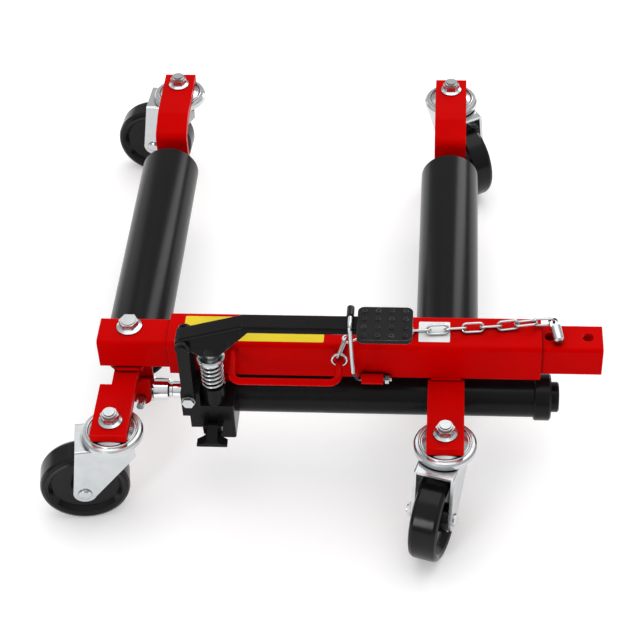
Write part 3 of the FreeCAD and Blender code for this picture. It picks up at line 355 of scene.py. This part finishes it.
def weld_bead(name, start, end, body):
    run = Vector(end) - Vector(start)
    steps = max(BEAD_FEWEST, round(run.length / BEAD_STEP))
    mesh = bmesh.new()
    bmesh.ops.create_circle(mesh, cap_ends=True, segments=BEAD_SIDES, radius=BEAD_RADIUS * BEAD_TIP)
    cap = list(mesh.faces)
    for step in range(steps):
        grown = bmesh.ops.extrude_face_region(mesh, geom=cap)
        if step:
            bmesh.ops.delete(mesh, geom=cap, context="FACES")
        verts = [piece for piece in grown["geom"] if isinstance(piece, bmesh.types.BMVert)]
        cap = [piece for piece in grown["geom"] if isinstance(piece, bmesh.types.BMFace)]
        bmesh.ops.translate(mesh, verts=verts, vec=(0, 0, run.length / steps))
        reach = BEAD_RADIUS * (BEAD_SWELL if step % 2 else 1.0)
        if step == steps - 1:
            reach = BEAD_RADIUS * BEAD_TIP
        grow = reach / max(vert.co.xy.length for vert in verts)
        bmesh.ops.scale(mesh, verts=verts, vec=(grow, grow, 1))
    bmesh.ops.recalc_face_normals(mesh, faces=mesh.faces)
    turn_to = run.to_track_quat("Z", "Y").to_matrix().to_4x4()
    bmesh.ops.transform(mesh, matrix=Matrix.Translation(start) @ turn_to, verts=mesh.verts)
    for face in mesh.faces:
        face.smooth = True
    keep_piece(name, mesh, powder_red, body)


bracket_low, bracket_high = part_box("right_front_bracket")
seam_z = tube_low.z + SEAM_RISE
for side, seam_y in (("front", tube_low.y + SEAM_DEPTH), ("rear", tube_high.y - SEAM_DEPTH)):
    weld_bead("arm_weld_" + side, (bracket_low.x + SEAM_INSET, seam_y, seam_z),
              (bracket_high.x - SEAM_INSET, seam_y, seam_z), "frame")
packing_low, packing_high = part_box("arm_packing")
packing_z = (packing_low.z + packing_high.z) / 2
weld_bead("packing_weld", (packing_low.x + SEAM_INSET, packing_low.y, packing_z),
          (packing_high.x - SEAM_INSET, packing_low.y, packing_z), "left_arm")


# Rollers: steel tube with pressed-in ends, sprayed satin black, running on bronze bushes on
# plain zinc-plated axles held in the brackets' legs.
BLACK = (0.005, 0.005, 0.0055, 1)
BLACK_EDGE = (0.045, 0.045, 0.048, 1)
BRONZE = (0.50, 0.33, 0.16, 1)
BRONZE_SHADE = (0.38, 0.25, 0.12, 1)
BRONZE_EDGE = (0.62, 0.45, 0.25, 1)
roller_enamel = finish_of("roller_enamel", BLACK, BLACK, BLACK_EDGE,
                          rough=0.23, rough_marked=0.26, grain=160.0, depth=0.008 * MM,
                          marks_scale=9.0, dust_share=0.004, specular=0.125)
dress(roller_enamel, "right_roller", "left_roller", "right_roller_ends", "left_roller_ends")
bush_bronze = finish_of("bush_bronze", BRONZE, BRONZE_SHADE, BRONZE_EDGE,
                        rough=0.35, rough_marked=0.5, grain=700.0, depth=0.01 * MM, metal=1.0,
                        marks_scale=40.0)
dress(bush_bronze, "right_roller_bushes", "left_roller_bushes")
dress(bright_zinc, "right_axle", "left_axle")


# Casters: zinc-plated plates and forks, flange-nutted kingpins and wheel bolts, and hard wheels
# moulded in glossy black plastic. Plates and forks are pressed from sheet, and each plate has a
# ring pressed up round its kingpin.
BLACK_SHADE = (0.007, 0.007, 0.0075, 1)
MOULDED_EDGE = (0.05, 0.05, 0.052, 1)
PRESSED_RADIUS = 27.5 * MM
PRESSED_BEAD = 1.5 * MM
PRESSED_BELOW = 3.6 * MM
PRESSED_STEPS = 72
RING_MERGE = 0.001 * MM
dress(bright_zinc, "right_caster_plates", "left_caster_plates", "right_kingpins", "left_kingpins")
wheel_plastic = finish_of("moulded_black_plastic", BLACK, BLACK_SHADE, MOULDED_EDGE,
                          rough=0.16, rough_marked=0.24, grain=300.0, depth=0.02 * MM,
                          marks_scale=34.0, dust_share=0.003, specular=0.18)
for corner in ("front_left", "rear_left", "front_right", "rear_right"):
    dress(bright_zinc, corner + "_fork", corner + "_axle_bolt")
    dress(wheel_plastic, corner + "_wheel")


def ring_bead(centre, axis, radius, bead, steps):
    ring = bmesh.new()
    bmesh.ops.create_circle(ring, cap_ends=False, segments=BEAD_SIDES, radius=bead)
    lie = Vector((0, 1, 0)).rotation_difference(Vector(axis)).to_matrix()
    bmesh.ops.rotate(ring, verts=ring.verts, cent=(0, 0, 0), matrix=lie)
    bmesh.ops.translate(ring, verts=ring.verts, vec=centre + Vector((radius, 0, 0)))
    bmesh.ops.spin(ring, geom=list(ring.edges), cent=centre, axis=axis, angle=2 * math.pi,
                   steps=steps, use_merge=True, use_duplicate=False)
    bmesh.ops.remove_doubles(ring, verts=ring.verts, dist=RING_MERGE)
    bmesh.ops.recalc_face_normals(ring, faces=ring.faces)
    for face in ring.faces:
        face.smooth = True
    return ring


for side, body in (("left", "left_arm"), ("right", "frame")):
    plate_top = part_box(side + "_caster_plates")[1].z
    pin_points = [vert.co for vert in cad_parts[side + "_kingpins"].data.vertices]
    for end, points in (("front", [point for point in pin_points if point.y < 0]),
                        ("rear", [point for point in pin_points if point.y > 0])):
        along = [point.x for point in points]
        across = [point.y for point in points]
        kingpin = Vector(((min(along) + max(along)) / 2, (min(across) + max(across)) / 2,
                          plate_top - PRESSED_BELOW))
        ring = ring_bead(kingpin, (0, 0, 1), PRESSED_RADIUS, PRESSED_BEAD, PRESSED_STEPS)
        keep_piece(end + "_" + side + "_pressed_ring", ring, bright_zinc, body)


# Ram: a black pull cylinder with a screwed end cap, hung from red mounts, and a hard-chromed
# rod pinned to the left arm's red lugs by a clevis pin.
CHROME = (0.86, 0.86, 0.87, 1)
CHROME_SHADE = (0.80, 0.80, 0.82, 1)
CHROME_EDGE = (0.95, 0.95, 0.95, 1)
satin_black = finish_of("satin_black_paint", BLACK, BLACK_SHADE, BLACK_EDGE,
                        rough=0.24, rough_marked=0.31, grain=520.0, depth=0.02 * MM,
                        marks_scale=16.0, dust_share=0.004, specular=0.12)
dress(satin_black, "ram_cylinder", "ram_end_cap", "ram_plug")
dress(powder_red, "ram_lugs", "ram_mounts")
rod_chrome = finish_of("hard_chrome", CHROME, CHROME_SHADE, CHROME_EDGE,
                       rough=0.07, rough_marked=0.14, grain=900.0, depth=0.004 * MM, metal=1.0,
                       marks_scale=70.0, dust_share=0.0)
dress(rod_chrome, "ram_rod", "ram_rod_eye")
dress(bright_zinc, "ram_piston", "clevis_pin")


# Pump: cast block and barrel in black, a plunger that is black below a bright plated spring
# cap, and the flat links that carry the pedal's pivot.
CAP_BLEND = 0.3 * MM
dress(satin_black, "pump_block", "pump_barrel", "pump_links", "pivot_pin")
dress(bright_zinc, "link_bolt")
cap_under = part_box("return_spring")[1].z
plunger_finish = bright_zinc.copy()
plunger_finish.name = "zinc_cap_black_rod"
plunger_tree = plunger_finish.node_tree
plunger_shader = plunger_tree.nodes["Principled BSDF"]
plunger_place = add(plunger_tree, "ShaderNodeTexCoord").outputs["Object"]
plunger_height = add(plunger_tree, "ShaderNodeSeparateXYZ", {"Vector": plunger_place}).outputs["Z"]
# The plunger is black below its cap and plated zinc from the cap up.
plated = add(plunger_tree, "ShaderNodeMapRange", {
    "Value": plunger_height, "From Min": cap_under - CAP_BLEND,
    "From Max": cap_under}).outputs["Result"]
zinc_colour = plunger_shader.inputs["Base Color"].links[0].from_socket
plunger_colour = blend_colour(plunger_tree, plated, BLACK, zinc_colour)
plunger_tree.links.new(plunger_colour, plunger_shader.inputs["Base Color"])
plunger_tree.links.new(plated, plunger_shader.inputs["Metallic"])
dress(plunger_finish, "pump_plunger")


# Return spring: one length of plated spring wire wound in open coils between the barrel and
# the plunger's cap.
WIRE = 2.6 * MM
WIRE_SIDES = 12
COIL_OUTSIDE = 26.0 * MM
COIL_TURNS = 6
TURN_STEPS = 32
coil_steps = COIL_TURNS * TURN_STEPS
spring_low, spring_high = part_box("return_spring")
plunger_low, plunger_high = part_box("pump_plunger")
spring_middle = (plunger_low + plunger_high) / 2
coil_radius = (COIL_OUTSIDE - WIRE) / 2
coil_start = spring_low.z + WIRE / 2
coil_rise = spring_high.z - spring_low.z - WIRE
coil = bmesh.new()
bmesh.ops.create_circle(coil, cap_ends=False, segments=WIRE_SIDES, radius=WIRE / 2)
bmesh.ops.rotate(coil, verts=coil.verts, cent=(0, 0, 0),
                 matrix=Matrix.Rotation(math.pi / 2, 3, "X"))
bmesh.ops.translate(coil, verts=coil.verts,
                    vec=(spring_middle.x + coil_radius, spring_middle.y, coil_start))
bmesh.ops.spin(coil, geom=list(coil.edges), cent=(spring_middle.x, spring_middle.y, 0),
               axis=(0, 0, 1), dvec=(0, 0, coil_rise / coil_steps),
               angle=2 * math.pi * COIL_TURNS, steps=coil_steps, use_duplicate=False)
wall_faces = set(coil.faces)
bmesh.ops.holes_fill(coil, edges=[wire for wire in coil.edges if wire.is_boundary], sides=0)
for face in coil.faces:
    face.smooth = face in wall_faces
bmesh.ops.recalc_face_normals(coil, faces=coil.faces)
spring = keep_piece("wound_return_spring", coil, bright_zinc, "frame")
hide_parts("return_spring")
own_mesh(spring)


# Pedal: a channel folded from black sheet, with a painted highlight along its folds, on a
# blackened pin, and a studded rubber foot pad at its end whose studs carry a painted glint.
FOLD_HIGHLIGHT = (0.24, 0.24, 0.25, 1)
RUBBER = (0.008, 0.008, 0.008, 1)
RUBBER_SHADE = (0.012, 0.012, 0.012, 1)
STUD_GLINT = (0.26, 0.26, 0.26, 1)
# Painted highlight: a lighter grey laid strongly along the lever's folds stands in for the light line
# on them.
lever_black = finish_of("lever_black_paint", BLACK, BLACK_SHADE, FOLD_HIGHLIGHT,
                        rough=0.26, rough_marked=0.33, grain=520.0, depth=0.02 * MM,
                        wear_and_highlight_share=0.9, edge_band_radius=1.4 * MM, marks_scale=16.0,
                        dust_share=0.004, specular=0.07)
dress(lever_black, "pedal_lever")
dress(satin_black, "plunger_pin")
# Painted glint: a light grey laid along the edges of the pad's studs.
pad_rubber = finish_of("pad_rubber", RUBBER, RUBBER_SHADE, STUD_GLINT,
                       rough=0.36, rough_marked=0.52, grain=800.0, depth=0.06 * MM,
                       wear_and_highlight_share=0.9, edge_band_radius=0.8 * MM, marks_scale=40.0,
                       dust_share=0.006, specular=0.1)
dress(pad_rubber, "foot_pad")


# Release pedal: a small black casting on a plated pin at the foot of the pump block. Treading
# on it opens the valve.
dress(satin_black, "release_pedal")
dress(bright_zinc, "release_pin")


# Carry handle: one red rod bent at both ends and welded to the tube's front face, with a ring
# of weld round each foot.
RING_BEAD = 1.7 * MM
RING_STEPS = 28
dress(powder_red, "carry_handle")
handle_low, handle_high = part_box("carry_handle")
rod_radius = (handle_high.z - handle_low.z) / 2
for side, foot_x in (("left", handle_low.x + rod_radius), ("right", handle_high.x - rod_radius)):
    foot = Vector((foot_x, tube_low.y, handle_low.z + rod_radius))
    ring = ring_bead(foot, (0, 1, 0), rod_radius, RING_BEAD, RING_STEPS)
    keep_piece("handle_weld_" + side, ring, powder_red, "frame")


# Pedal latch: a plated wire hook turning in a red welded barrel, with a black plastic cap on
# its tip and a nut on its other end.
dress(powder_red, "latch_barrel")
dress(bright_zinc, "latch_wire", "latch_nut")
dress(wheel_plastic, "latch_cap")


# Lock pin and tether: a turned pin with a drilled flat, on a chain of welded wire links, all
# bright plated. The chain's ring hangs on the carry handle.
LINK_MERGE = 0.01 * MM
dress(bright_zinc, "lock_pin")
links = bmesh.new()
links.from_mesh(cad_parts["tether_chain"].data)
bmesh.ops.remove_doubles(links, verts=links.verts, dist=LINK_MERGE)
for face in links.faces:
    face.smooth = True
chain = keep_piece("welded_tether_chain", links, bright_zinc)
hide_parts("tether_chain")
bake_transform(chain)


# Labels: two bare vinyl sheets on top of the outer tube, a long yellow one under the pedal
# and a small white one by the right arm, with rounded corners.
VINYL_THICK = 0.15 * MM
VINYL_CORNER = 1.5 * MM
CORNER_STEPS = 4
VINYL_YELLOW = (0.74, 0.57, 0.012, 1)
VINYL_YELLOW_SHADE = (0.69, 0.53, 0.012, 1)
VINYL_WHITE = (0.80, 0.81, 0.80, 1)
VINYL_WHITE_SHADE = (0.72, 0.73, 0.72, 1)
YELLOW_FROM_BEAM = Vector((-109.5, -1.0)) * MM
YELLOW_HALF = Vector((77.5, 19.0)) * MM
WHITE_FROM_BEAM = Vector((88.0, -0.7)) * MM
WHITE_HALF = Vector((17.0, 15.6)) * MM


def vinyl_label(name, colour, shade, from_beam, half):
    vinyl = finish_of(name.replace("label", "vinyl"), colour, shade, colour,
                      rough=0.3, rough_marked=0.42, grain=600.0, depth=0.01 * MM,
                      wear_and_highlight_share=0.0, dust_share=0.01, specular=0.2)
    sheet = bmesh.new()
    bmesh.ops.create_cube(sheet, size=2)
    bmesh.ops.scale(sheet, verts=sheet.verts, vec=(half.x, half.y, VINYL_THICK / 2))
    corners = [line for line in sheet.edges
               if abs(line.verts[0].co.z - line.verts[1].co.z) > VINYL_THICK / 2]
    bmesh.ops.bevel(sheet, geom=corners, offset=VINYL_CORNER, affect="EDGES",
                    segments=CORNER_STEPS, profile=0.5, material=-1)
    bmesh.ops.translate(sheet, verts=sheet.verts, vec=(
        beam_middle.x + from_beam.x, beam_middle.y + from_beam.y, tube_high.z + VINYL_THICK / 2))
    keep_piece(name, sheet, vinyl, "frame")


vinyl_label("yellow_label", VINYL_YELLOW, VINYL_YELLOW_SHADE, YELLOW_FROM_BEAM, YELLOW_HALF)
vinyl_label("white_label", VINYL_WHITE, VINYL_WHITE_SHADE, WHITE_FROM_BEAM, WHITE_HALF)
